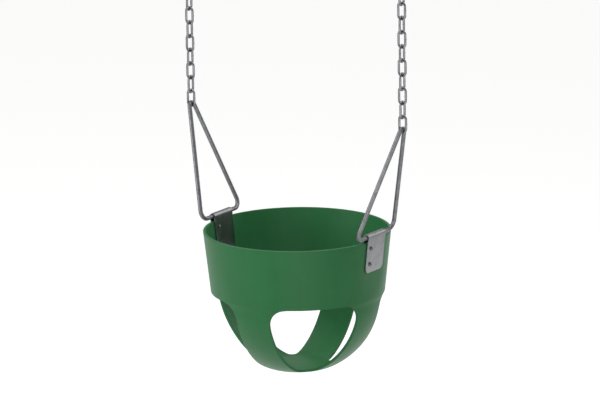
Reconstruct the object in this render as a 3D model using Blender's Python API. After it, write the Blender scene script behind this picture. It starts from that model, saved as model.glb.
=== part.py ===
"""Toddler bucket swing: a moulded bucket on two bent-rod hangers and two chains.
Frame: metres, +Z up, +X to the right hanger, -Y to the front, origin midway on the swing axis."""
import math

import bmesh
import bpy
from mathutils import Vector

RIM_RADIUS = 0.1725
BAND_FOOT_RADIUS = 0.1605
BAND_HEIGHT = 0.110
SHOULDER_STEP = 0.003
SHOULDER_DROP = 0.009
PAD_RADIUS = 0.048
BUCKET_DEPTH = 0.258
BOWL_FULLNESS = 1.7
BOWL_ROUNDING = 0.625
WALL = 0.005
STRAP_HALF_WIDTH = 0.035
OPENING_CORNER = 0.013
OPENING_TOP_CORNER = 0.034
OPENING_DROP = 0.003
ROD_DIAMETER = 0.008
ROD_RISE = 0.0095
HANGER_HALF_WIDTH = 0.060
HANGER_BASE_BEND = 0.014
HANGER_APEX_BEND = 0.008
APEX_OFFSET = 0.229
APEX_RISE = 0.213
APEX_SLACK = 0.00045
PLATE_WIDTH = 0.058
PLATE_LENGTH = 0.058
PLATE_THICKNESS = 0.002
PLATE_CORNER = 0.010
RIVET_SHANK = 0.0048
RIVET_HEAD = 0.0082
RIVET_DOME = 0.0028
RIVET_SET_HEAD = 0.0068
RIVET_SET_DOME = 0.0018
RIVET_DROPS = (0.012, 0.042)
RIVET_OFFSET = -0.016
WIRE_DIAMETER = 0.0044
LINK_BEND = 0.0070
LINK_PITCH = 0.0258
LINK_COUNT = 10
QUICK_LINK_WIRE = 0.006
QUICK_LINK_BEND = 0.0095
QUICK_LINK_LENGTH = 0.036
NUT_LENGTH = 0.015
NUT_ACROSS = 0.011
GAP = 0.0003
CUTTER_REACH = 0.02
SEGMENTS = 60
BOWL_STEPS = 9
FLAT_STEPS = 2
FLAT_ENDS = 0.97
FLAT_FADES = 0.30

LINK_SPAN = LINK_PITCH + GAP + WIRE_DIAMETER
APEX_TO_WIRE = ROD_DIAMETER / 2 + WIRE_DIAMETER / 2 + APEX_SLACK
FIRST_WIRE = APEX_RISE - APEX_TO_WIRE
TOP_WIRE = FIRST_WIRE + (LINK_COUNT - 1) * LINK_PITCH + LINK_SPAN
RIM_Z = -(TOP_WIRE - (WIRE_DIAMETER + QUICK_LINK_WIRE) / 2 - GAP)
FLAT_COSINE = math.cos(2 * math.pi * FLAT_STEPS / SEGMENTS)
BAND_LEAN = math.atan2((RIM_RADIUS - BAND_FOOT_RADIUS) * FLAT_COSINE, BAND_HEIGHT)


def clear_scene():
    for thing in list(bpy.data.objects):
        bpy.data.objects.remove(thing, do_unlink=True)


def make_material(name, colour, metallic, roughness):
    material = bpy.data.materials.new(name)
    material.use_nodes = True
    shader = material.node_tree.nodes["Principled BSDF"]
    shader.inputs["Base Color"].default_value = (*colour, 1.0)
    shader.inputs["Metallic"].default_value = metallic
    shader.inputs["Roughness"].default_value = roughness
    return material


def make_object(name, points, faces, look, origin=Vector((0, 0, 0))):
    """One named solid, its origin on the axis it turns about where it turns."""
    mesh = bpy.data.meshes.new(name)
    mesh.from_pydata([tuple(Vector(p) - origin) for p in points], [], faces)
    work = bmesh.new()
    work.from_mesh(mesh)
    bmesh.ops.recalc_face_normals(work, faces=work.faces)
    work.to_mesh(mesh)
    work.free()
    mesh.materials.append(make_material(name, *look))
    mesh.shade_smooth()
    mesh.set_sharp_from_angle(angle=math.radians(50))
    thing = bpy.data.objects.new(name, mesh)
    thing.location = origin
    bpy.context.scene.collection.objects.link(thing)
    return thing


def cut(thing, cutters):
    for cutter in cutters:
        step = thing.modifiers.new("cut", "BOOLEAN")
        step.operation = "DIFFERENCE"
        step.solver = "EXACT"
        step.object = cutter
        bpy.context.view_layer.objects.active = thing
        bpy.ops.object.modifier_apply(modifier=step.name)
        bpy.data.objects.remove(cutter, do_unlink=True)


def closed_tube(path, across, radius, sides):
    """Points and faces of a round wire along a closed flat path; across is the path plane's normal."""
    points, faces = [], []
    count = len(path)
    for i in range(count):
        along = (path[(i + 1) % count] - path[i - 1]).normalized()
        side = along.cross(across).normalized()
        for j in range(sides):
            turn = 2 * math.pi * (j + 0.5) / sides
            points.append(path[i] + radius * (math.cos(turn) * side + math.sin(turn) * across))
    for i in range(count):
        for j in range(sides):
            a = i * sides + j
            b = i * sides + (j + 1) % sides
            c = ((i + 1) % count) * sides + (j + 1) % sides
            d = ((i + 1) % count) * sides + j
            faces.append((a, b, c, d))
    return points, faces


def oval_path(bottom, top, bend, steps):
    """Centre line of a link as (sideways, up): two half circles joined by straight sides."""
    line = []
    for i in range(steps + 1):
        turn = math.pi * i / steps
        line.append((bend * math.cos(turn), top - bend + bend * math.sin(turn)))
    for i in range(steps + 1):
        turn = math.pi * (1 + i / steps)
        line.append((bend * math.cos(turn), bottom + bend + bend * math.sin(turn)))
    return line


def turned(profile, sides, spot, axis):
    """A solid of revolution: profile is (distance along axis, radius) from end to end."""
    axis = axis.normalized()
    first = axis.orthogonal().normalized()
    second = axis.cross(first)
    points, faces = [], []
    for along, radius in profile:
        for j in range(sides):
            turn = 2 * math.pi * j / sides
            points.append(spot + along * axis + radius * (math.cos(turn) * first + math.sin(turn) * second))
    for i in range(len(profile) - 1):
        for j in range(sides):
            k = (j + 1) % sides
            faces.append((i * sides + j, i * sides + k, (i + 1) * sides + k, (i + 1) * sides + j))
    faces.append(tuple(range(sides)))
    faces.append(tuple(range((len(profile) - 1) * sides, len(profile) * sides)))
    return points, faces


def bucket_profile():
    """Outer wall as (radius, drop below the rim): band, shoulder, and bowl down to the flat pad."""
    top_radius, top_drop = BAND_FOOT_RADIUS - SHOULDER_STEP, BAND_HEIGHT + SHOULDER_DROP
    line = [(RIM_RADIUS, 0.0)]
    bend = FLAT_ENDS - FLAT_FADES
    line.append((RIM_RADIUS - (RIM_RADIUS - BAND_FOOT_RADIUS) * bend, BAND_HEIGHT * bend))
    line.append((BAND_FOOT_RADIUS, BAND_HEIGHT))
    for i in range(BOWL_STEPS + 1):
        deep = math.sin(math.pi / 2 * i / BOWL_STEPS)
        reach = (top_radius - PAD_RADIUS) * (1 - deep ** BOWL_FULLNESS) ** BOWL_ROUNDING
        line.append((PAD_RADIUS + reach, top_drop + (BUCKET_DEPTH - top_drop) * deep))
    return line


def inset(profile, thickness):
    """The same wall moved inward by its thickness, square to its own slope."""
    moved = []
    for i, (radius, drop) in enumerate(profile):
        before = profile[max(i - 1, 0)]
        after = profile[min(i + 1, len(profile) - 1)]
        run = Vector((after[0] - before[0], after[1] - before[1])).normalized()
        if i == 0:
            moved.append((radius - thickness / run.y, drop))
        elif i == len(profile) - 1:
            moved.append((radius - thickness / 2, drop - thickness))
        else:
            moved.append((radius - thickness * run.y, drop + thickness * run.x))
    return moved


def flattened(radius, drop, step):
    """One wall point; the band is pulled flat between the plates on each side."""
    turn = 2 * math.pi * step / SEGMENTS
    x, y = radius * math.cos(turn), radius * math.sin(turn)
    fade = min(1.0, max(0.0, (BAND_HEIGHT * FLAT_ENDS - drop) / (BAND_HEIGHT * FLAT_FADES)))
    limit = radius * FLAT_COSINE
    if abs(x) > limit:
        x = math.copysign(abs(x) + (limit - abs(x)) * fade, x)
    return Vector((x, y, RIM_Z - drop))


def make_bucket():
    outer = bucket_profile()
    inner = inset(outer, WALL)
    ring = outer + inner[::-1]
    points, faces = [], []
    for radius, drop in ring:
        points += [flattened(radius, drop, step) for step in range(SEGMENTS)]
    rows = len(ring)
    pad_row = len(outer) - 1
    for i in range(rows):
        following = (i + 1) % rows
        if i == pad_row:
            continue
        here, there = i * SEGMENTS, following * SEGMENTS
        for j in range(SEGMENTS):
            k = (j + 1) % SEGMENTS
            faces.append((here + j, here + k, there + k, there + j))
    faces.append(tuple(pad_row * SEGMENTS + j for j in range(SEGMENTS)))
    faces.append(tuple((pad_row + 1) * SEGMENTS + j for j in range(SEGMENTS)))
    bucket = make_object("bucket_shell", points, faces, ((0.03, 0.13, 0.05), 0.0, 0.5))
    cutters = []
    for along in (1, -1):
        for across in (1, -1):
            cutters.append(opening_cutter(along, across))
    for side in (1, -1):
        cutters += rivet_cutters(side)
    cut(bucket, cutters)
    return bucket


def opening_cutter(along, across):
    """A block between two straps, round at its inner upright edge and along its two inner top edges."""
    far = RIM_RADIUS * 1.3
    top, bottom = RIM_Z - BAND_HEIGHT - OPENING_DROP, RIM_Z - BUCKET_DEPTH * 1.2
    layers = [(STRAP_HALF_WIDTH, bottom)]
    for i in range(7):
        turn = math.pi / 2 * i / 6
        layers.append((STRAP_HALF_WIDTH + OPENING_TOP_CORNER * (1 - math.cos(turn)),
                       top - OPENING_TOP_CORNER * (1 - math.sin(turn))))
    points, faces = [], []
    for near, height in layers:
        outline = [(far, far), (far, near)]
        for i in range(6):
            turn = math.pi / 2 * i / 5
            aside, ahead = OPENING_CORNER * math.sin(turn), OPENING_CORNER * math.cos(turn)
            outline.append((near + OPENING_CORNER - aside, near + OPENING_CORNER - ahead))
        outline.append((near, far))
        points += [Vector((along * x, across * y, height)) for x, y in outline]
    size = len(outline)
    for i in range(len(layers) - 1):
        for j in range(size):
            k = (j + 1) % size
            faces.append((i * size + j, i * size + k, (i + 1) * size + k, (i + 1) * size + j))
    faces.append(tuple(range(size)))
    faces.append(tuple(range((len(layers) - 1) * size, len(layers) * size)))
    return make_object("cutter", points, faces, ((1, 1, 1), 0, 1))


def plate_frame(side):
    """Middle of the wall at the rim, the outward direction and the upward direction of a plate."""
    outer, inner = bucket_profile()[0][0], inset(bucket_profile(), WALL)[0][0]
    spot = Vector((side * FLAT_COSINE * (outer + inner) / 2, 0, RIM_Z))
    out = Vector((side * math.cos(BAND_LEAN), 0, -math.sin(BAND_LEAN)))
    up = Vector((side * math.sin(BAND_LEAN), 0, math.cos(BAND_LEAN)))
    return spot, out, up


def rivet_spots(side):
    spot, out, up = plate_frame(side)
    return [(spot - drop * up + Vector((0, RIVET_OFFSET, 0)), out) for drop in RIVET_DROPS]


def rivet_cutters(side):
    hole = RIVET_SHANK / 2 + GAP
    profile = [(-CUTTER_REACH, hole), (CUTTER_REACH, hole)]
    bodies = [turned(profile, 12, spot, axis) for spot, axis in rivet_spots(side)]
    return [make_object("cutter", *body, ((1, 1, 1), 0, 1)) for body in bodies]


def make_plate(side, name):
    """Sheet folded over the hanger's base rod, one leg on each face of the band."""
    spot, out, up = plate_frame(side)
    near = WALL / 2 + GAP
    far = near + PLATE_THICKNESS
    ring_in = ROD_DIAMETER / 2 + GAP
    ring_out = ring_in + PLATE_THICKNESS
    start_in = math.asin(near / ring_in)
    start_out = math.asin(far / ring_out)
    stations = []
    for i in range(5):
        turn = math.pi / 2 * i / 4
        inward, rise = PLATE_CORNER * (1 - math.cos(turn)), PLATE_CORNER * (1 - math.sin(turn))
        stations.append((inward - PLATE_WIDTH / 2, rise))
    stations += [(-place, rise) for place, rise in stations[::-1]]
    points, faces = [], []
    for place, rise in stations:
        foot = rise - PLATE_LENGTH
        section = [(near, foot)]
        for i in range(11):
            turn = start_in + (2 * math.pi - 2 * start_in) * i / 10
            section.append((ring_in * math.sin(turn), ROD_RISE - ring_in * math.cos(turn)))
        section += [(-near, foot), (-far, foot)]
        for i in range(11):
            turn = 2 * math.pi - start_out - (2 * math.pi - 2 * start_out) * i / 10
            section.append((ring_out * math.sin(turn), ROD_RISE - ring_out * math.cos(turn)))
        section.append((far, foot))
        size = len(section)
        for across, along in section:
            points.append(spot + across * out + along * up + Vector((0, place, 0)))
    for i in range(len(stations) - 1):
        for j in range(size):
            k = (j + 1) % size
            faces.append((i * size + j, i * size + k, (i + 1) * size + k, (i + 1) * size + j))
    for base in (0, (len(stations) - 1) * size):
        for j in range(size // 2 - 1):
            faces.append((base + j, base + j + 1, base + size - 2 - j, base + size - 1 - j))
    plate = make_object(name, points, faces, ((0.45, 0.45, 0.45), 0.8, 0.4))
    cut(plate, rivet_cutters(side))
    return plate


def make_rivets(side, word):
    """Dome-head rivets through both legs and the wall, set over inside."""
    reach = WALL / 2 + 2 * GAP + PLATE_THICKNESS
    profile = [(-reach, RIVET_SHANK / 2), (reach, RIVET_SHANK / 2)]
    for degrees in (0, 30, 60, 80):
        across, along = math.cos(math.radians(degrees)) / 2, math.sin(math.radians(degrees))
        profile.insert(0, (-reach - RIVET_SET_DOME * along, RIVET_SET_HEAD * across))
        profile.append((reach + RIVET_DOME * along, RIVET_HEAD * across))
    for place, (spot, axis) in zip(("upper", "lower"), rivet_spots(side)):
        points, faces = turned(profile, 14, spot, axis)
        make_object(f"rivet_{word}_{place}", points, faces, ((0.35, 0.35, 0.35), 0.9, 0.35))


def make_hanger(side, name):
    """One round rod bent to a tall triangle and welded closed under the plate."""
    spot, out, up = plate_frame(side)
    base = spot + ROD_RISE * up
    apex = Vector((side * APEX_OFFSET, 0, RIM_Z + APEX_RISE))
    rise = (apex - base).normalized()
    height = (apex - base).length
    half, tall = HANGER_HALF_WIDTH, height
    for _ in range(40):
        lean = math.atan2(tall, half)
        half = HANGER_HALF_WIDTH + HANGER_BASE_BEND / math.tan(lean / 2) - HANGER_BASE_BEND
        tall = height + HANGER_APEX_BEND / math.cos(lean) - HANGER_APEX_BEND
    lean = math.atan2(tall, half)
    centre = half - HANGER_BASE_BEND / math.tan(lean / 2)
    corner = []
    for i in range(9):
        turn = -math.pi / 2 + (math.pi - lean) * i / 8
        corner.append((centre + HANGER_BASE_BEND * math.cos(turn), HANGER_BASE_BEND * (1 + math.sin(turn))))
    flat = list(corner)
    for i in range(11):
        turn = math.pi / 2 - lean + 2 * lean * i / 10
        flat.append((HANGER_APEX_BEND * math.cos(turn), height - HANGER_APEX_BEND * (1 - math.sin(turn))))
    flat += [(-y, t) for y, t in corner[::-1]]
    across = Vector((0, 1, 0))
    path = [base + y * across + t * rise for y, t in flat]
    points, faces = closed_tube(path, across.cross(rise), ROD_DIAMETER / 2, 12)
    return make_object(name, points, faces, ((0.40, 0.40, 0.40), 0.9, 0.35))


def make_link(side, number, name):
    bottom = RIM_Z + FIRST_WIRE + (number - 1) * LINK_PITCH
    lies_across = number % 2 == 1
    sideways = Vector((1, 0, 0)) if lies_across else Vector((0, 1, 0))
    normal = Vector((0, 1, 0)) if lies_across else Vector((1, 0, 0))
    place = Vector((side * APEX_OFFSET, 0, 0))
    line = oval_path(bottom, bottom + LINK_SPAN, LINK_BEND, 6)
    path = [place + a * sideways + Vector((0, 0, b)) for a, b in line]
    points, faces = closed_tube(path, normal, WIRE_DIAMETER / 2, 8)
    pivot = place + Vector((0, 0, bottom + LINK_SPAN))
    if not lies_across:
        pivot.z -= WIRE_DIAMETER + GAP
    if number == LINK_COUNT:
        pivot.z = 0.0
    return make_object(name, points, faces, ((0.42, 0.42, 0.42), 0.9, 0.35), pivot)


def make_quick_link(side, word):
    """Screw-lock link that hooks the chain to a beam eye, with its threaded sleeve on the outer leg."""
    place = Vector((side * APEX_OFFSET, 0, 0))
    line = oval_path(0.0, QUICK_LINK_LENGTH, QUICK_LINK_BEND, 8)
    path = [place + Vector((a, 0, b)) for a, b in line]
    points, faces = closed_tube(path, Vector((0, 1, 0)), QUICK_LINK_WIRE / 2, 10)
    make_object(f"quick_link_{word}", points, faces, ((0.45, 0.45, 0.45), 0.9, 0.3))
    middle = place + Vector((side * QUICK_LINK_BEND, 0, QUICK_LINK_LENGTH / 2))
    points, faces = [], []
    inner = QUICK_LINK_WIRE / 2 + GAP
    outer = NUT_ACROSS / 2 / math.cos(math.pi / 6)
    sides = 12
    for height in (-NUT_LENGTH / 2, NUT_LENGTH / 2):
        for reach in ("inner", "outer"):
            for j in range(sides):
                turn = 2 * math.pi * j / sides
                radius = inner if reach == "inner" else outer
                if reach == "outer" and j % 2 == 1:
                    radius = NUT_ACROSS / 2
                points.append(middle + Vector((radius * math.cos(turn), radius * math.sin(turn), height)))
    for j in range(sides):
        k = (j + 1) % sides
        faces.append((j, k, 2 * sides + k, 2 * sides + j))
        faces.append((sides + j, sides + k, 3 * sides + k, 3 * sides + j))
        faces.append((j, k, sides + k, sides + j))
        faces.append((2 * sides + j, 2 * sides + k, 3 * sides + k, 3 * sides + j))
    make_object(f"quick_link_nut_{word}", points, faces, ((0.5, 0.5, 0.5), 0.9, 0.3))


clear_scene()
make_bucket()
for side, word in ((-1, "left"), (1, "right")):
    make_plate(side, f"hanger_plate_{word}")
    make_rivets(side, word)
    make_hanger(side, f"hanger_triangle_{word}")
    for number in range(1, LINK_COUNT + 1):
        make_link(side, number, f"chain_{word}_link_{number:02d}")
    make_quick_link(side, word)
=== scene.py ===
"""Looks of the toddler bucket swing: moulded green bucket, bent-rod hangers, plates and chain."""
import math

import bmesh
import bpy
import numpy as np
from mathutils import Matrix, Vector


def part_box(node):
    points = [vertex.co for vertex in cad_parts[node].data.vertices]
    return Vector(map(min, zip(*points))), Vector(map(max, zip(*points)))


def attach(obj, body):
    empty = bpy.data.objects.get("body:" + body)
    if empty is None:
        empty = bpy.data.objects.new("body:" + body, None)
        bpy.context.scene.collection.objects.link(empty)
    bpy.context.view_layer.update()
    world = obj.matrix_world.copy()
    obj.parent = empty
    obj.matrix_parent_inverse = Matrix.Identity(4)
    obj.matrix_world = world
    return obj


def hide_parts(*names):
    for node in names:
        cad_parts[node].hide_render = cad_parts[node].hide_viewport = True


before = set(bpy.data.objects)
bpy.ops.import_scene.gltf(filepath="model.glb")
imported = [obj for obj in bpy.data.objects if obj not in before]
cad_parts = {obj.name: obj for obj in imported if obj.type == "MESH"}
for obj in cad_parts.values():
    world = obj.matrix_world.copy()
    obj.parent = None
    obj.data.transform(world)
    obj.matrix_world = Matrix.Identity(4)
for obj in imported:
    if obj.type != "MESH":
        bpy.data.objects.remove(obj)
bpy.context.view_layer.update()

# Bucket: one soft rubber moulding, a conical band over a bowl of four crossing straps and a flat pad.
# It is pressed in one piece, so the wall is one sheet of quads, thickened and rounded at every edge.
rim_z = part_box("bucket_shell")[1].z
rim_radius, foot_radius = 0.1725, 0.1605
band_height, bucket_depth, wall = 0.110, 0.258, 0.005
shoulder_step, shoulder_drop = 0.003, 0.015
pad_radius, bowl_fullness, bowl_rounding = 0.048, 1.7, 0.625
opening_drop = band_height + 0.003
strap_half, pad_corner, band_corner = 0.035, 0.013, 0.034
corner_reach = (strap_half + pad_corner) * math.sqrt(2)
closed_radius = corner_reach - pad_corner
flat_cosine = math.cos(math.radians(12))
flat_end, flat_fade = band_height * 0.97, band_height * 0.30
edge_crease = 0.55


def bowl_line():
    """Outer wall below the band as (radius, drop): an eased shoulder, then the bowl down to its flat pad."""
    top_radius, top_drop = foot_radius - shoulder_step, band_height + shoulder_drop
    line = []
    for share in np.linspace(0, 1, 9):
        eased = (1 - math.cos(share * math.pi)) / 2
        line.append((foot_radius - shoulder_step * eased, band_height + shoulder_drop * share))
    for deep in np.sin(np.linspace(0, math.pi / 2, 80)[1:]):
        reach = (top_radius - pad_radius) * (1 - deep ** bowl_fullness) ** bowl_rounding
        line.append((pad_radius + reach, top_drop + (bucket_depth - top_drop) * deep))
    return np.array(line + [(0.0, bucket_depth)])


bowl = bowl_line()


def radius_at(drop):
    """Radius of the outer wall this far below the rim."""
    if drop <= band_height:
        return rim_radius - (rim_radius - foot_radius) * drop / band_height
    return float(np.interp(drop, bowl[:, 1], bowl[:, 0]))


def drop_at(radius):
    """How far below the rim the bowl has this radius."""
    return float(np.interp(-radius, -bowl[:, 0], bowl[:, 1]))


def strap_angle(radius, drop):
    """Half the angle a strap spans here: belt width, flared into the band and rounded into the pad."""
    if radius <= closed_radius:
        return math.pi / 4
    if radius < math.hypot(strap_half + pad_corner, strap_half):
        cosine = (radius ** 2 + corner_reach ** 2 - pad_corner ** 2) / (2 * radius * corner_reach)
        return math.pi / 4 - math.acos(cosine)
    below = min(drop - opening_drop, band_corner)
    flare = band_corner - math.sqrt(band_corner ** 2 - (band_corner - below) ** 2)
    return math.asin((strap_half + flare) / radius)


def wall_row(work, drop, radius, turns):
    """A row of points of the outer wall; the band is pulled flat where the plates clamp it."""
    row = []
    fade = min(1.0, max(0.0, (flat_end - drop) / flat_fade))
    limit = radius * flat_cosine
    for turn in turns:
        x, y = radius * math.cos(turn), radius * math.sin(turn)
        if abs(x) > limit:
            x = math.copysign(abs(x) + (limit - abs(x)) * fade, x)
        row.append(work.verts.new((x, y, rim_z - drop)))
    return row


def bridge(work, upper, lower, closed=True):
    """Quads between two rows of points, right round or left open at the ends."""
    for j in range(len(upper) if closed else len(upper) - 1):
        k = (j + 1) % len(upper)
        work.faces.new((upper[j], lower[j], lower[k], upper[k]))


def into_scene(name, data):
    """An object of the scene that holds this mesh, lamp or camera."""
    thing = bpy.data.objects.new(name, data)
    bpy.context.scene.collection.objects.link(thing)
    return thing


def mesh_object(name, work):
    """The finished work as an object of the scene."""
    mesh = bpy.data.meshes.new(name)
    work.to_mesh(mesh)
    work.free()
    return into_scene(name, mesh)


def to_plain(thing):
    """Turns an object's modifiers into plain smooth mesh."""
    bpy.context.view_layer.update()
    made = bpy.data.meshes.new_from_object(thing.evaluated_get(bpy.context.evaluated_depsgraph_get()))
    thing.modifiers.clear()
    thing.data = made
    made.shade_smooth()


# Rows of points down the band, down the straps and in over the pad, closer together where the wall bends.
band_drops = [0.0, 0.0025, 0.012, 0.03, 0.05, 0.07, 0.088, 0.101, 0.1072, 0.110, 0.1115, opening_drop]
strap_drops = [opening_drop + below for below in (0.0012, 0.004, 0.009, 0.016, 0.025, 0.035, 0.048, 0.062,
                                                  0.077, 0.091, 0.104, 0.117, 0.127)]
strap_drops += [drop_at(closed_radius + outside) for outside in (0.022, 0.014, 0.007, 0.003, 0.0008)]
pad_radii = [closed_radius - 0.002, 0.048, 0.042, 0.032, 0.022, 0.011]
strap_steps, gap_steps = 5, 8


def strap_turns(strap, angle):
    """Directions of the points across one of the four straps, from edge to edge."""
    return [strap * math.pi / 2 + angle * j / strap_steps for j in range(-strap_steps, strap_steps + 1)]


work = bmesh.new()
first_angle = strap_angle(radius_at(opening_drop), opening_drop)
gap_angle = math.pi / 2 - 2 * first_angle
band_turns = []
for strap in range(4):
    edge = strap * math.pi / 2 + first_angle
    band_turns += strap_turns(strap, first_angle)
    band_turns += [edge + gap_angle * j / gap_steps for j in range(1, gap_steps)]
band = [wall_row(work, drop, radius_at(drop), band_turns) for drop in band_drops]
for upper, lower in zip(band, band[1:]):
    bridge(work, upper, lower)
quarter_points, strap_points = 2 * strap_steps + gap_steps, 2 * strap_steps + 1
straps = [band[-1][strap * quarter_points:][:strap_points] for strap in range(4)]
for drop in strap_drops:
    radius = radius_at(drop)
    for strap in range(4):
        row = wall_row(work, drop, radius, strap_turns(strap, strap_angle(radius, drop)))
        bridge(work, straps[strap], row, closed=False)
        straps[strap] = row
pad_points = 8 * strap_steps
pad_turns = [-math.pi / 4 + math.pi / 4 * j / strap_steps for j in range(pad_points)]
pad = [wall_row(work, drop_at(radius), radius, pad_turns) for radius in pad_radii]
for strap in range(4):
    row = [pad[0][(2 * strap_steps * strap + j) % pad_points] for j in range(strap_points)]
    bridge(work, straps[strap], row, closed=False)
    work.faces.new((straps[strap][-1], row[-1], straps[(strap + 1) % 4][0]))
for upper, lower in zip(pad, pad[1:]):
    bridge(work, upper, lower)
hub = work.verts.new((0, 0, rim_z - bucket_depth))
for j in range(pad_points):
    work.faces.new((pad[-1][j], hub, pad[-1][(j + 1) % pad_points]))
bmesh.ops.recalc_face_normals(work, faces=work.faces)
work.normal_update()
if band[3][0].link_faces[0].normal.x < 0:
    bmesh.ops.reverse_faces(work, faces=work.faces)
bucket = mesh_object("bucket", work)
thicken = bucket.modifiers.new("wall", "SOLIDIFY")
thicken.thickness = wall
thicken.offset = -1
thicken.use_even_offset = True
thicken.edge_crease_inner = edge_crease
thicken.edge_crease_outer = edge_crease
smooth = bucket.modifiers.new("rounding", "SUBSURF")
smooth.levels = 2
smooth.render_levels = 2
to_plain(bucket)


def linear(code):
    """An sRGB hex colour as linear RGBA."""
    parts = [int(code[i:i + 2], 16) / 255 for i in (1, 3, 5)]
    return tuple(c / 12.92 if c <= 0.04045 else ((c + 0.055) / 1.055) ** 2.4 for c in parts) + (1.0,)


def per_mm(size):
    """Pattern scale at which a feature has this size in millimetres."""
    return 1000 / size


def add(tree, kind, given=(), stops=(), **settings):
    """A node with its settings, its inputs as (socket to link or plain value, name) and a ramp's stops."""
    made = tree.nodes.new(kind)
    for name, value in settings.items():
        if name in made.inputs:
            made.inputs[name].default_value = value
        else:
            setattr(made, name, value)
    for source, name in given:
        if isinstance(source, bpy.types.NodeSocket):
            tree.links.new(source, made.inputs[name])
        else:
            made.inputs[name].default_value = source
    for place, (position, colour) in enumerate(stops):
        made.color_ramp.elements[place].position = position
        made.color_ramp.elements[place].color = colour
    return made


def new_material(name):
    """A material with its node tree, its shader and the Object coordinates that its patterns read."""
    material = bpy.data.materials.new(name)
    material.use_nodes = True
    tree = material.node_tree
    coordinates = add(tree, "ShaderNodeTexCoord").outputs["Object"]
    return material, tree, tree.nodes["Principled BSDF"], coordinates


# Natural rubber, compression moulded in a polished tool: a satin green, a little cloudy and streaked where
# the compound ran, with a fine skin. The grain is near 0.3 mm and is drawn at 1.1 mm so that it shows.
rubber, tree, shader, place = new_material("moulded_rubber")
cloud = add(tree, "ShaderNodeTexNoise", [(place, "Vector")], Scale=per_mm(110), Detail=6.0, Roughness=0.6)
wave = add(tree, "ShaderNodeTexNoise", [(place, "Vector")], Scale=per_mm(40), Detail=2.0)
grain = add(tree, "ShaderNodeTexNoise", [(place, "Vector")], Scale=per_mm(1.1), Detail=2.0)
upright = add(tree, "ShaderNodeMapping", [(place, "Vector")], Scale=(1.0, 1.0, 0.08))
flow = add(tree, "ShaderNodeTexNoise", [(upright.outputs["Vector"], "Vector")], Scale=per_mm(17), Detail=3.0)
mottle = add(tree, "ShaderNodeMath", [(flow.outputs["Fac"], 0), (0.35, 1), (cloud.outputs["Fac"], 2)],
             operation="MULTIPLY_ADD")
tone = add(tree, "ShaderNodeMapRange",
           [(mottle.outputs["Value"], "Value"), (0.475, "From Min"), (0.875, "From Max")])
green = add(tree, "ShaderNodeValToRGB", [(tone.outputs["Result"], "Fac")],
            stops=((0.0, linear("#205B32")), (1.0, linear("#256238"))))
satin = add(tree, "ShaderNodeMapRange",
            [(cloud.outputs["Fac"], "Value"), (0.3, "From Min"), (0.7, "From Max"),
             (0.42, "To Min"), (0.50, "To Max")])
skin = add(tree, "ShaderNodeBump", [(grain.outputs["Fac"], "Height")], Strength=0.12, Distance=0.0006)
swell = add(tree, "ShaderNodeBump", [(wave.outputs["Fac"], "Height"), (skin.outputs["Normal"], "Normal")],
            Strength=0.10, Distance=0.004)
tree.links.new(green.outputs["Color"], shader.inputs["Base Color"])
tree.links.new(satin.outputs["Result"], shader.inputs["Roughness"])
tree.links.new(swell.outputs["Normal"], shader.inputs["Normal"])
shader.inputs["Specular IOR Level"].default_value = 0.2
bucket.data.materials.append(rubber)
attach(bucket, "seat")
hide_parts("bucket_shell")

# Plates: galvanised sheet folded over the hanger's base rod, a leg on each face of the band.
# Sheared edges are slightly rounded and the foot corners are cut round; two rivets clamp each plate.
plate_width, plate_length, sheet, clearance = 0.058, 0.058, 0.002, 0.0003
corner_share, corner_height = 0.172, 0.010
rod_radius, rod_rise, neck_drop = 0.004, 0.0095, 0.008
leg_inside, fold_inside = wall / 2 + clearance, rod_radius + clearance
leg_outside, fold_outside = leg_inside + sheet, fold_inside + sheet
edge_rounding = 0.0005
band_lean = math.atan2((rim_radius - foot_radius) * flat_cosine, band_height)
both_sides = {"left": -1, "right": 1}


def plate_frame(side):
    """Middle of the wall at the rim, with the outward and upward directions of a plate."""
    inner = rim_radius - wall * math.hypot(1, (rim_radius - foot_radius) / band_height)
    middle = Vector((side * flat_cosine * (rim_radius + inner) / 2, 0, rim_z))
    out = Vector((side * math.cos(band_lean), 0, -math.sin(band_lean)))
    return middle, out, Vector((side * math.sin(band_lean), 0, math.cos(band_lean)))


def plate_outline(foot):
    """A cut through the sheet as (outward, upward): its inner face over the rod, then its outer face back."""
    fold = np.linspace(math.pi / 2, 1.5 * math.pi, 21)
    line = [(leg_inside, foot), (leg_inside, -neck_drop)]
    line += [(fold_inside * math.sin(a), rod_rise - fold_inside * math.cos(a)) for a in fold]
    line += [(-leg_inside, -neck_drop), (-leg_inside, foot), (-leg_outside, foot), (-leg_outside, -neck_drop)]
    line += [(fold_outside * math.sin(a), rod_rise - fold_outside * math.cos(a)) for a in fold[::-1]]
    return line + [(leg_outside, -neck_drop), (leg_outside, foot)]


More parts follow.
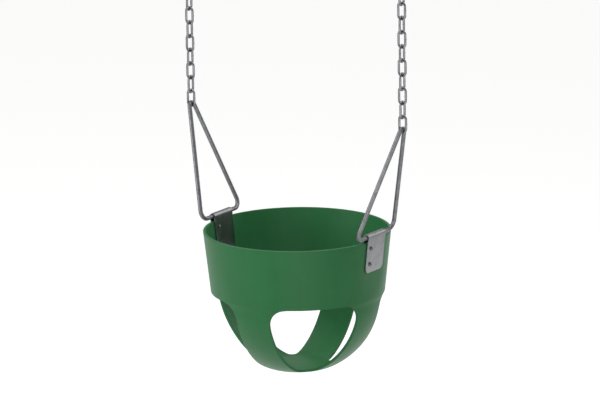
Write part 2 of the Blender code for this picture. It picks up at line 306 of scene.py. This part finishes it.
def steel(name, dark, light, smoothest, roughest, spangle, along=1.0):
    """Steel in its coat: grey clouds, faint crystals of a size in mm, and streaks drawn out upward.

    Rolling streaks are near 1 mm wide and clouds near 5 mm; they are drawn at 8 and 14 mm so that they show.
    """
    material, tree, shader, place = new_material(name)
    drawn = add(tree, "ShaderNodeMapping", [(place, "Vector")], Scale=(1.0, 1.0, along))
    streak = add(tree, "ShaderNodeTexNoise", [(drawn.outputs["Vector"], "Vector")],
                 Scale=per_mm(8), Detail=2.0)
    cloud = add(tree, "ShaderNodeTexNoise", [(place, "Vector")], Scale=per_mm(14), Detail=6.0, Roughness=0.65)
    crystal = add(tree, "ShaderNodeTexVoronoi", [(place, "Vector")], Scale=per_mm(spangle))
    glint = add(tree, "ShaderNodeSeparateColor", [(crystal.outputs["Color"], "Color")])
    faint = add(tree, "ShaderNodeMapRange", [(glint.outputs["Red"], "Value"), (0.2, "To Max")])
    mottle = add(tree, "ShaderNodeMath", [(cloud.outputs["Fac"], 0), (0.8, 1), (faint.outputs["Result"], 2)],
                 operation="MULTIPLY_ADD")
    grey = add(tree, "ShaderNodeValToRGB", [(mottle.outputs["Value"], "Fac")],
               stops=((0.33, linear(dark)), (0.67, linear(light))))
    sheen = add(tree, "ShaderNodeMapRange",
                [(streak.outputs["Fac"], "Value"), (0.3, "From Min"), (0.7, "From Max"),
                 (smoothest, "To Min"), (roughest, "To Max")])
    ripple = add(tree, "ShaderNodeBump", [(streak.outputs["Fac"], "Height")], Strength=0.03, Distance=0.0003)
    tree.links.new(grey.outputs["Color"], shader.inputs["Base Color"])
    tree.links.new(sheen.outputs["Result"], shader.inputs["Roughness"])
    tree.links.new(ripple.outputs["Normal"], shader.inputs["Normal"])
    shader.inputs["Metallic"].default_value = 1.0
    return material


# Hot-dipped sheet: an even satin grey, with zinc crystals just seen and rolling streaks up the plate.
sheet_steel = steel("galvanised_sheet", "#6F7072", "#7B7C7E", 0.30, 0.36, 6.0, along=0.12)
corner = [(corner_share * (1 - math.cos(a)) - 0.5, corner_height * (1 - math.sin(a)))
          for a in np.linspace(0, math.pi / 2, 8)]
stations = corner + [(-across, lift) for across, lift in corner[::-1]]
for word, side in both_sides.items():
    middle, out, up = plate_frame(side)
    work = bmesh.new()
    sections = []
    for across, lift in stations:
        start = middle + Vector((0, across * plate_width, 0))
        line = plate_outline(lift - plate_length)
        sections.append([work.verts.new(start + a * out + b * up) for a, b in line])
    for one, two in zip(sections, sections[1:]):
        bridge(work, one, two)
    for end in (sections[0], sections[-1]):
        half = len(end) // 2
        bridge(work, end[:half], end[::-1][:half], closed=False)
    bmesh.ops.recalc_face_normals(work, faces=work.faces)
    plate = mesh_object(f"plate_{word}", work)
    rounding = plate.modifiers.new("edges", "BEVEL")
    rounding.width = edge_rounding
    rounding.segments = 2
    rounding.limit_method = "ANGLE"
    rounding.angle_limit = math.radians(50)
    to_plain(plate)
    plate.data.set_sharp_from_angle(angle=math.radians(45))
    plate.data.materials.append(sheet_steel)
    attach(plate, "seat")
    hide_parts(f"hanger_plate_{word}")

# Rivets: steel dome heads outside, set over inside, two through each plate toward its front edge.
# Each is a turned shape, and one tree sets it on every rivet place, facing out of the plate.
shank_radius, head_radius, head_height = 0.0024, 0.0041, 0.0028
set_head = ((0.0018, 0.0004), (0.0017, 0.0019), (0.0012, 0.0030), (0.0, 0.00336))
rivet_drops, rivet_forward, rivet_facets = (0.012, 0.042), 0.016, 28
grip = wall / 2 + 2 * clearance + sheet

# Rivet steel: its grey is set darker than the zinc round it as painted shade, standing in for the shade on
# the dome heads, with a small broken glint.
rivet_steel_painted_shade = steel("rivet_steel_painted_shade", "#4A4A4B", "#6E6F70", 0.30, 0.45, 3.0)


def new_tree(name, kinds):
    """A geometry tree with named inputs of these kinds, and the sockets on which they arrive."""
    tree = bpy.data.node_groups.new(name, "GeometryNodeTree")
    for label, kind in {"Geometry": "Geometry", **kinds}.items():
        tree.interface.new_socket(name=label, in_out="INPUT", socket_type=f"NodeSocket{kind}")
    tree.interface.new_socket(name="Geometry", in_out="OUTPUT", socket_type="NodeSocketGeometry")
    return tree, tree.nodes.new("NodeGroupInput").outputs


def end_tree(tree, shape, finish):
    """Ends a tree in plain geometry of one finish."""
    real = add(tree, "GeometryNodeRealizeInstances", [(shape, "Geometry")])
    done = add(tree, "GeometryNodeSetMaterial",
               [(real.outputs["Geometry"], "Geometry"), (finish, "Material")])
    add(tree, "NodeGroupOutput", [(done.outputs["Geometry"], "Geometry")])


def run_tree(thing, tree, values):
    """Runs a tree on an object, its inputs set by their sockets' identifiers, and makes the result plain."""
    maker = thing.modifiers.new(tree.name, "NODES")
    maker.node_group = tree
    for item in tree.interface.items_tree:
        if item.item_type == "SOCKET" and item.in_out == "INPUT" and item.name in values:
            maker[item.identifier] = values[item.name]
    to_plain(thing)


rivet_tree, inputs = new_tree("rivets", {"Rivet": "Object", "Finish": "Material"})
shape = add(rivet_tree, "GeometryNodeObjectInfo", [(inputs["Rivet"], "Object")])
facing = add(rivet_tree, "GeometryNodeInputNamedAttribute", data_type="FLOAT_VECTOR", Name="facing")
turned = add(rivet_tree, "FunctionNodeAlignRotationToVector",
             [(facing.outputs["Attribute"], "Vector")], axis="Z")
placed = add(rivet_tree, "GeometryNodeInstanceOnPoints",
             [(inputs["Geometry"], "Points"), (shape.outputs["Geometry"], "Instance"),
              (turned.outputs["Rotation"], "Rotation")])
end_tree(rivet_tree, placed.outputs["Instances"], inputs["Finish"])

outline = [(-grip - height, radius) for height, radius in set_head]
outline += [(-grip, shank_radius), (grip, shank_radius), (grip, head_radius)]
for turn in np.linspace(0.12, 1.0, 7) * math.pi / 2:
    outline.append((grip + head_height * math.sin(turn), head_radius * max(math.cos(turn), 0.03)))
work = bmesh.new()
loops = []
turns = [2 * math.pi * j / rivet_facets for j in range(rivet_facets)]
for height, radius in outline:
    loops.append([work.verts.new((radius * math.cos(a), radius * math.sin(a), height)) for a in turns])
for lower, upper in zip(loops, loops[1:]):
    bridge(work, upper, lower)
work.faces.new(loops[0][::-1])
work.faces.new(loops[-1])
rivet_shape = mesh_object("rivet_shape", work)
places, directions = [], []
for side in both_sides.values():
    middle, out, up = plate_frame(side)
    for drop in rivet_drops:
        places.append(tuple(middle - drop * up - Vector((0, rivet_forward, 0))))
        directions.append(out)
place_mesh = bpy.data.meshes.new("rivets")
place_mesh.from_pydata(places, [], [])
facings = place_mesh.attributes.new("facing", "FLOAT_VECTOR", "POINT")
for item, direction in zip(facings.data, directions):
    item.vector = direction
rivets = into_scene("rivets", place_mesh)
run_tree(rivets, rivet_tree, {"Rivet": rivet_shape, "Finish": rivet_steel_painted_shade})
rivets.data.set_sharp_from_angle(angle=math.radians(45))
bpy.data.objects.remove(rivet_shape, do_unlink=True)
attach(rivets, "seat")
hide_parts("rivet_left_upper", "rivet_left_lower", "rivet_right_upper", "rivet_right_lower")

# Hangers: each one length of round rod bent to a tall triangle, welded closed under its plate.
# It runs in the plate's fold and its narrow top carries the chain; one tree sweeps the rod along its line.
apex_offset, apex_rise, half_width = 0.229, 0.213, 0.060
base_bend, apex_bend = 0.014, 0.008

# Drawn and galvanised rod: a dull even grey, rough enough to blur what it mirrors.
rod_steel = steel("drawn_rod", "#606164", "#717275", 0.44, 0.50, 4.5)

rod_tree, inputs = new_tree("bent_rod", {"Rod Radius": "Float", "Finish": "Material"})
line = add(rod_tree, "GeometryNodeMeshToCurve", [(inputs["Geometry"], "Mesh")])
round_rod = add(rod_tree, "GeometryNodeCurvePrimitiveCircle",
                [(inputs["Rod Radius"], "Radius")], Resolution=20)
rod = add(rod_tree, "GeometryNodeCurveToMesh",
          [(line.outputs["Curve"], "Curve"), (round_rod.outputs["Curve"], "Profile Curve")])
end_tree(rod_tree, rod.outputs["Mesh"], inputs["Finish"])


def triangle_line(height):
    """The rod's middle line as (sideways, upward), its legs fitted to the bends to keep the outer size."""
    half, tall = half_width, height
    for _ in range(40):
        lean = math.atan2(tall, half)
        half = half_width + base_bend / math.tan(lean / 2) - base_bend
        tall = height + apex_bend / math.cos(lean) - apex_bend
    centre = half - base_bend / math.tan(lean / 2)
    foot = [(centre + base_bend * math.cos(a), base_bend + base_bend * math.sin(a))
            for a in np.linspace(-math.pi / 2, math.pi / 2 - lean, 18)]
    top = [(apex_bend * math.cos(a), height - apex_bend + apex_bend * math.sin(a))
           for a in np.linspace(math.pi / 2 - lean, math.pi / 2 + lean, 22)]
    return foot + top + [(-y, t) for y, t in foot[::-1]]


for word, side in both_sides.items():
    middle, _, up = plate_frame(side)
    base = middle + rod_rise * up
    apex = Vector((side * apex_offset, 0, rim_z + apex_rise))
    rise = (apex - base).normalized()
    path = [base + Vector((0, y, 0)) + t * rise for y, t in triangle_line((apex - base).length)]
    path_mesh = bpy.data.meshes.new(f"hanger_{word}")
    path_mesh.from_pydata(path, [(i, (i + 1) % len(path)) for i in range(len(path))], [])
    hanger = into_scene(f"hanger_{word}", path_mesh)
    run_tree(hanger, rod_tree, {"Rod Radius": rod_radius, "Finish": rod_steel})
    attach(hanger, "seat")
    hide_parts(f"hanger_triangle_{word}")

# Chain links: short lengths of drawn wire bent to an oval and butt-welded on one side.
# One tree bends and welds a link of any size; every second link hangs turned a quarter.

# Galvanised wire, rubbed bright by its neighbours: a smooth mid grey with sharp small lights.
wire_steel = steel("chain_wire", "#66676A", "#7E7F82", 0.20, 0.32, 3.0)
chain_sizes = {"Wire Radius": 0.0022, "Bend Radius": 0.007, "Span": 0.0305, "Weld Swell": 1.12,
               "Finish": wire_steel}
weld_half, weld_end = 0.0004, 0.0018

link_tree, inputs = new_tree("link", {"Wire Radius": "Float", "Bend Radius": "Float", "Span": "Float",
                                      "Weld Swell": "Float", "Finish": "Material"})
width = add(link_tree, "ShaderNodeMath", [(inputs["Bend Radius"], 0), (2.0, 1)], operation="MULTIPLY")
oblong = add(link_tree, "GeometryNodeCurvePrimitiveQuadrilateral",
             [(width.outputs["Value"], "Width"), (inputs["Span"], "Height")])
bent = add(link_tree, "GeometryNodeFilletCurve",
           [(oblong.outputs["Curve"], "Curve"), (inputs["Bend Radius"], "Radius"), (True, "Limit Radius")],
           mode="POLY", Count=9)
even = add(link_tree, "GeometryNodeResampleCurve", [(bent.outputs["Curve"], "Curve")], Count=64)
round_wire = add(link_tree, "GeometryNodeCurvePrimitiveCircle",
                 [(inputs["Wire Radius"], "Radius")], Resolution=14)
position = add(link_tree, "GeometryNodeInputPosition")
parts = add(link_tree, "ShaderNodeSeparateXYZ", [(position.outputs["Position"], "Vector")])
from_weld = add(link_tree, "ShaderNodeMath", [(parts.outputs["Y"], 0)], operation="ABSOLUTE")
bead = add(link_tree, "ShaderNodeMapRange",
           [(from_weld.outputs["Value"], "Value"), (weld_half, "From Min"), (weld_end, "From Max"),
            (inputs["Weld Swell"], "To Min"), (1.0, "To Max")])
weld_side = add(link_tree, "FunctionNodeCompare", [(parts.outputs["X"], "A")], data_type="FLOAT",
                operation="GREATER_THAN")
thickness = add(link_tree, "GeometryNodeSwitch",
                [(weld_side.outputs["Result"], "Switch"), (bead.outputs["Result"], "True"), (1.0, "False")],
                input_type="FLOAT")
wire = add(link_tree, "GeometryNodeCurveToMesh",
           [(even.outputs["Curve"], "Curve"), (round_wire.outputs["Curve"], "Profile Curve"),
            (thickness.outputs["Output"], "Scale")])
end_tree(link_tree, wire.outputs["Mesh"], inputs["Finish"])
stand = Matrix.Rotation(math.pi / 2, 4, "X")
quarter = Matrix.Rotation(math.pi / 2, 4, "Z")


def bend_link(name, node, sizes, turn):
    """A link as plain mesh in its node's place: the tree's flat oval stood up, turned and moved."""
    low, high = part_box(node)
    thing = into_scene(name, bpy.data.meshes.new(name))
    run_tree(thing, link_tree, sizes)
    thing.data.transform(Matrix.Translation((low + high) / 2) @ turn)
    return thing


for word in both_sides:
    for number in range(1, 11):
        node = f"chain_{word}_link_{number:02d}"
        turn = stand if number % 2 == 1 else quarter @ stand
        link = bend_link(f"link_{word}_{number:02d}", node, chain_sizes, turn)
        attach(link, "chain_lower" if number < 4 else "chain_middle" if number < 7 else "chain_upper")
        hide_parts(node)

# Quick links: zinc-plated screw-lock links that join each chain to a beam's eye.
# The same tree bends them without a weld; the hexagon sleeve on the outer leg stays as modelled.

# Electroplated zinc: paler and brighter than the dipped pieces, with a fine soft sparkle.
zinc = steel("zinc_plate", "#8F9092", "#BFC0C2", 0.22, 0.36, 4.0)
quick_sizes = {"Wire Radius": 0.003, "Bend Radius": 0.0095, "Span": 0.036, "Weld Swell": 1.0, "Finish": zinc}
for word in both_sides:
    quick_link = bend_link(f"quick_link_body_{word}", f"quick_link_{word}", quick_sizes, stand)
    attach(quick_link, "support")
    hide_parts(f"quick_link_{word}")
    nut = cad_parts[f"quick_link_nut_{word}"]
    nut.data.materials.clear()
    nut.data.materials.append(zinc)

# Studio: a pale paper floor well under the seat, four soft boxes, and a white room that dims to both sides.
# The camera stands where the photograph's did, far off with a long lens, and tilted by under a degree.
floor_half, floor_z = 40, -1.6
photo_width, focal_pixels, sensor = 600, 4500, 36
azimuth, elevation, roll = math.radians(33.0), math.radians(13.5), math.radians(-0.85)
distance, aim_right, aim_up = 8.235, 2.9, 29.0
lit_middle = Vector((0, 0, -0.5))
floor_mesh = bpy.data.meshes.new("floor")
corners = [(x * floor_half, y * floor_half, floor_z) for x, y in ((-1, -1), (1, -1), (1, 1), (-1, 1))]
floor_mesh.from_pydata(corners, [], [(0, 1, 2, 3)])
floor = into_scene("floor", floor_mesh)

# Matt paper: mid grey where it lights the object, and white where it is seen or mirrored.
paper, tree, shader, _ = new_material("paper")
ray = add(tree, "ShaderNodeLightPath").outputs
mirrored = add(tree, "ShaderNodeMath", [(ray["Is Glossy Ray"], 0), (ray["Is Transmission Ray"], 1)],
               operation="MAXIMUM")
seen = add(tree, "ShaderNodeMath", [(ray["Is Camera Ray"], 0), (mirrored.outputs["Value"], 1)],
           operation="MAXIMUM")
shade = add(tree, "ShaderNodeValToRGB", [(seen.outputs["Value"], "Fac")],
            stops=((0.0, linear("#B4B4B3")), (1.0, linear("#F8F8F7"))))
glow = add(tree, "ShaderNodeMapRange", [(seen.outputs["Value"], "Value"), (0.45, "To Max")])
tree.links.new(shade.outputs["Color"], shader.inputs["Base Color"])
tree.links.new(glow.outputs["Result"], shader.inputs["Emission Strength"])
shader.inputs["Emission Color"].default_value = linear("#FFFFFF")
shader.inputs["Roughness"].default_value = 0.9
floor_mesh.materials.append(paper)

across = Vector((math.cos(azimuth), math.sin(azimuth), 0))
back = Vector((math.sin(azimuth) * math.cos(elevation), -math.cos(azimuth) * math.cos(elevation),
               math.sin(elevation)))
upward = back.cross(across)
world = bpy.data.worlds.new("studio")
world.use_nodes = True
tree = world.node_tree
direction = add(tree, "ShaderNodeTexCoord").outputs["Generated"]
to_right = add(tree, "ShaderNodeVectorMath", [(direction, 0), (across, 1)], operation="DOT_PRODUCT")
to_a_side = add(tree, "ShaderNodeMath", [(to_right.outputs["Value"], 0)], operation="ABSOLUTE")
dimmed = add(tree, "ShaderNodeMapRange", [(to_a_side.outputs["Value"], "Value"), (0.45, "From Min"),
                                          (0.85, "From Max"), (0.62, "To Min"), (0.24, "To Max")])
room = tree.nodes["Background"]
room.inputs["Color"].default_value = linear("#FFFFFF")
tree.links.new(dimmed.outputs["Result"], room.inputs["Strength"])
bpy.context.scene.world = world
bpy.context.scene.view_settings.view_transform = "Standard"


def softbox(name, spot, size, power):
    """A square soft lamp turned to the middle of the swing."""
    lamp = bpy.data.lights.new(name, "AREA")
    lamp.size = size
    lamp.energy = power
    thing = into_scene(name, lamp)
    thing.location = spot
    thing.rotation_euler = (lit_middle - spot).to_track_quat("-Z", "Y").to_euler()


front_spot = back * 3.0 + across * 0.4
front_spot.z = -0.66
softbox("key", back * 0.85 - across * 2.6 + Vector((0, 0, 0.3)), size=1.6, power=56)
softbox("front", front_spot, size=1.8, power=30)
softbox("top", Vector((0, 0, 1.2)), size=1.2, power=15)
softbox("rim_light", across * 2.2 - back * 1.2 + Vector((0, 0, 1.2)), size=2.6, power=40)
lens = bpy.data.cameras.new("camera")
lens.sensor_width = sensor
lens.lens = sensor * focal_pixels / photo_width
lens.clip_end = 200
camera = into_scene("camera", lens)
view_right = across * math.cos(roll) + upward * math.sin(roll)
view_up = upward * math.cos(roll) - across * math.sin(roll)
pixel = distance / focal_pixels
aim = Vector((0, 0, rim_z)) + (view_up * aim_up + view_right * aim_right) * pixel
turned = Matrix((view_right, view_up, back)).transposed().to_4x4()
camera.matrix_world = Matrix.Translation(aim + back * distance) @ turned
bpy.context.scene.camera = camera
